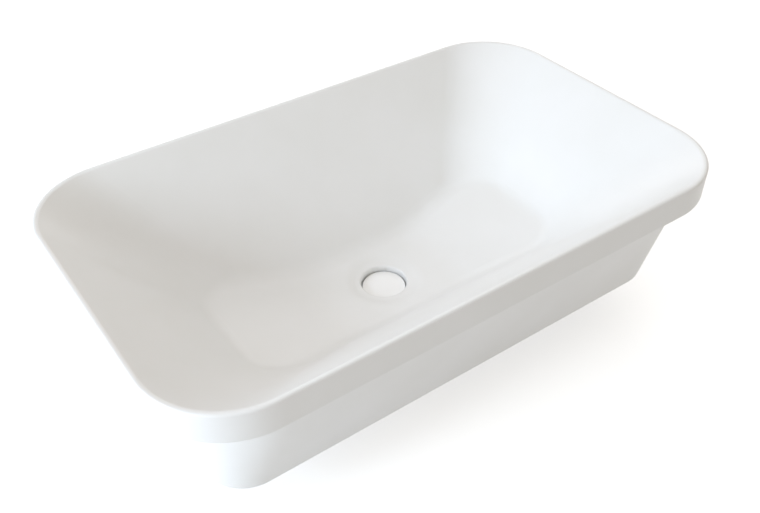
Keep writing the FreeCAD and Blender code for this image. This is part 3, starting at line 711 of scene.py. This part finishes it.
class WASHBASIN_OT_cartridge(bpy.types.Operator):
    """Cut the sleeve's thread, wind the spring, slot the foot plug and finish the rest of the latch"""
    bl_idname = "washbasin.cartridge"
    bl_label = "Cartridge"

    def execute(self, context):
        waste = context.scene.washbasin_waste
        brass = finish_of(context, turned_brass)
        chrome = finish_of(context, plated_chrome)
        steel = finish_of(context, drawn_steel)
        bore_r = radius_of("spring_plug")
        crest_r = sleeve_radius(waste)

        # The sleeve: a thread with its lead-in, a hexagon collar and a plain neck, bored through
        foot_z, neck_z = heights("cartridge_sleeve")
        seat_z = heights("cartridge_washer")[1]
        collar_z = seat_z + waste.sleeve_collar
        over = waste.nut_lead_in
        sleeve = threaded_rod(crest_r, waste.sleeve_thread, waste.sleeve_pitch, foot_z, seat_z + over)
        envelope = turned([
            (crest_r - 2 * over, foot_z - over), (crest_r + over, foot_z + 2 * over),
            (crest_r + over, seat_z + 2 * over)], bored=False)
        combine(sleeve, envelope, "INTERSECT")
        collar = hexagon(radius_of("cartridge_sleeve"), seat_z, collar_z, waste.nut_chamfer)
        combine(sleeve, collar, "UNION")
        combine(sleeve, plain_rod(crest_r, seat_z + BITE, neck_z), "UNION")
        combine(sleeve, plain_rod(bore_r, foot_z - over, neck_z + over), "DIFFERENCE")
        stand_in(sleeve, "threaded_sleeve", "cartridge_sleeve", chrome, "basin")

        # The foot plug, with a pilot for the spring and a slot for the screwdriver
        plug_foot_z, pilot_z = heights("spring_plug")
        spring_foot_z, spring_z = heights("return_spring")
        spring_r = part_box("return_spring")[1].x
        pilot_r = spring_r - 2 * waste.spring_wire
        plug = turned([
            (bore_r, plug_foot_z), (bore_r, spring_foot_z), (pilot_r, spring_foot_z),
            (pilot_r, pilot_z)], bored=False)
        slot_size = (2 * crest_r, waste.slot_width, 2 * waste.slot_depth)
        combine(plug, bar(slot_size, (0, 0, plug_foot_z), waste.slot_turn), "DIFFERENCE")
        soften(plug, waste.soft_edge)
        stand_in(plug, "slotted_foot_plug", "spring_plug", brass, "basin")

        # The spring: a ring of wire wound up the axis, with its two ends closed
        wire_r = waste.spring_wire / 2
        bpy.ops.object.select_all(action="DESELECT")
        bpy.ops.mesh.primitive_circle_add(
            vertices=WIRE_SIDES, radius=wire_r, location=(spring_r - wire_r, 0, spring_foot_z + wire_r),
            rotation=(QUARTER_TURN, 0, 0))
        rise = (spring_z - spring_foot_z - waste.spring_wire) / waste.spring_turns
        wind(settle(), rise, waste.spring_turns)
        bpy.ops.object.mode_set(mode="EDIT")
        bpy.ops.mesh.select_all(action="SELECT")
        bpy.ops.mesh.fill_holes(sides=0)
        stand_in(settle_outward(), "wound_return_spring", "return_spring", steel, "basin")

        dress(["plug_carrier", "plunger"], brass)
        dress(["guide_bush", "ratchet_rotor"], finish_of(context, moulded_acetal))
        dress(["cartridge_washer"], finish_of(context, vulcanised_fibre))
        dress(["rotor_clip"], steel)
        return {"FINISHED"}


def softbox(name, place, target, size, power, tint):
    """A square area lamp that faces the target and that no camera sees."""
    turn = (Vector(target) - Vector(place)).to_track_quat("-Z", "Y").to_euler()
    bpy.ops.object.light_add(type="AREA", location=place, rotation=turn)
    lamp = bpy.context.object
    lamp.name = name
    lamp.data.size = size
    lamp.data.energy = power
    lamp.data.color = tint
    lamp.visible_camera = False


def seen_directly(tree):
    """1 for what the eye sees, also in a mirror or through glass, and 0 for light on its way to a surface."""
    path = add_node(tree, "ShaderNodeLightPath")
    mirrored = add_node(
        tree, "ShaderNodeMath", {"operation": "MAXIMUM"},
        {0: path.outputs["Is Camera Ray"], 1: path.outputs["Is Glossy Ray"]})
    through = add_node(
        tree, "ShaderNodeMath", {"operation": "MAXIMUM"},
        {0: mirrored.outputs["Value"], 1: path.outputs["Is Transmission Ray"]})
    return through.outputs["Value"]


def lay_floor(stage):
    """A sheet of pale paper at the part's lowest point, white to the eye but for the shadow on it."""
    bpy.ops.object.select_all(action="DESELECT")
    bpy.ops.mesh.primitive_plane_add(size=stage.floor_size, location=(0, 0, CAD_BOX[0][2]))
    floor = bpy.context.object
    floor.name = "studio_floor"
    material, tree, shader, _ = new_finish("studio_paper", {
        "Base Color": (*stage.floor_colour, 1), "Roughness": 0.9, "Emission Color": (*WHITE, 1)})
    lift = add_node(
        tree, "ShaderNodeMath", {"operation": "MULTIPLY", 1: stage.floor_lift}, {0: seen_directly(tree)})
    tree.links.new(lift.outputs["Value"], shader.inputs["Emission Strength"])
    floor.data.materials.append(material)


def surround(scene, stage):
    """An even light from all round that the eye sees as white."""
    world = bpy.data.worlds.new("studio_surround")
    scene.world = world
    world.use_nodes = True
    tree = world.node_tree
    eye = seen_directly(tree)
    strength = add_node(tree, "ShaderNodeMapRange", {"To Min": stage.ambient, "To Max": 1.0}, {"Value": eye})
    tint = add_node(
        tree, "ShaderNodeMix",
        {"data_type": "RGBA", MIX_FIRST: (*stage.ambient_colour, 1), MIX_SECOND: (*WHITE, 1)},
        {MIX_FACTOR: eye})
    background = tree.nodes["Background"]
    tree.links.new(tint.outputs[MIX_RESULT], background.inputs["Color"])
    tree.links.new(strength.outputs["Result"], background.inputs["Strength"])


def set_camera(scene, stage):
    """A camera that stands and looks as the photograph's did."""
    turn = (
        Matrix.Rotation(-stage.camera_yaw, 3, "Z")
        @ Matrix.Rotation(QUARTER_TURN - stage.camera_pitch, 3, "X")
        @ Matrix.Rotation(-stage.camera_roll, 3, "Z"))
    bpy.ops.object.camera_add(location=stage.camera_place, rotation=turn.to_euler())
    camera = bpy.context.object
    camera.name = "photo_camera"
    camera.data.sensor_width = SENSOR_WIDTH_MM
    camera.data.lens = stage.camera_lens
    scene.camera = camera


class WASHBASIN_OT_stage(bpy.types.Operator):
    """Set the floor, the white surround, the lamps and the camera"""
    bl_idname = "washbasin.stage"
    bl_label = "Stage"

    def execute(self, context):
        scene = context.scene
        stage = scene.washbasin_stage
        lay_floor(stage)
        surround(scene, stage)
        for name, place, size, power, tint in (
                ("key_softbox", stage.key_place, stage.key_size, stage.key_power, stage.key_colour),
                ("side_softbox", stage.side_place, stage.side_size, stage.side_power, stage.side_colour),
                ("top_softbox", stage.top_place, stage.top_size, stage.top_power, stage.fill_colour),
                ("front_softbox", stage.front_place, stage.front_size, stage.front_power, stage.fill_colour),
                ("back_softbox", stage.back_place, stage.back_size, stage.back_power, stage.fill_colour)):
            softbox(name, place, stage.lamp_target, size, power, tint)
        set_camera(scene, stage)
        scene.view_settings.view_transform = "Standard"
        return {"FINISHED"}


class VIEW3D_PT_washbasin(bpy.types.Panel):
    """The steps that dress the washbasin, in order, and their settings"""
    bl_label = "Washbasin"
    bl_idname = "VIEW3D_PT_washbasin"
    bl_space_type = "VIEW_3D"
    bl_region_type = "UI"
    bl_category = "Washbasin"

    def draw(self, context):
        scene = context.scene
        for operator in OPERATORS:
            self.layout.operator(operator.bl_idname)
        for settings in (scene.washbasin_finish, scene.washbasin_waste, scene.washbasin_stage):
            box = self.layout.box()
            for key in settings.__annotations__:
                box.prop(settings, key)


OPERATORS = (
    WASHBASIN_OT_china, WASHBASIN_OT_waste_body, WASHBASIN_OT_nuts, WASHBASIN_OT_rings,
    WASHBASIN_OT_cartridge, WASHBASIN_OT_stage)
CLASSES = (FinishSettings, WasteSettings, StageSettings, *OPERATORS, VIEW3D_PT_washbasin)


def register():
    """Makes the settings, the steps and the panel known to Blender."""
    for cls in CLASSES:
        bpy.utils.register_class(cls)
    bpy.types.Scene.washbasin_finish = bpy.props.PointerProperty(type=FinishSettings)
    bpy.types.Scene.washbasin_waste = bpy.props.PointerProperty(type=WasteSettings)
    bpy.types.Scene.washbasin_stage = bpy.props.PointerProperty(type=StageSettings)


def unregister():
    """Takes them away again."""
    del bpy.types.Scene.washbasin_stage
    del bpy.types.Scene.washbasin_waste
    del bpy.types.Scene.washbasin_finish
    for cls in reversed(CLASSES):
        bpy.utils.unregister_class(cls)


def main():
    """Runs the steps in order."""
    register()
    bpy.ops.washbasin.china()
    bpy.ops.washbasin.waste_body()
    bpy.ops.washbasin.nuts()
    bpy.ops.washbasin.rings()
    bpy.ops.washbasin.cartridge()
    bpy.ops.washbasin.stage()


if __name__ == "__main__":
    main()
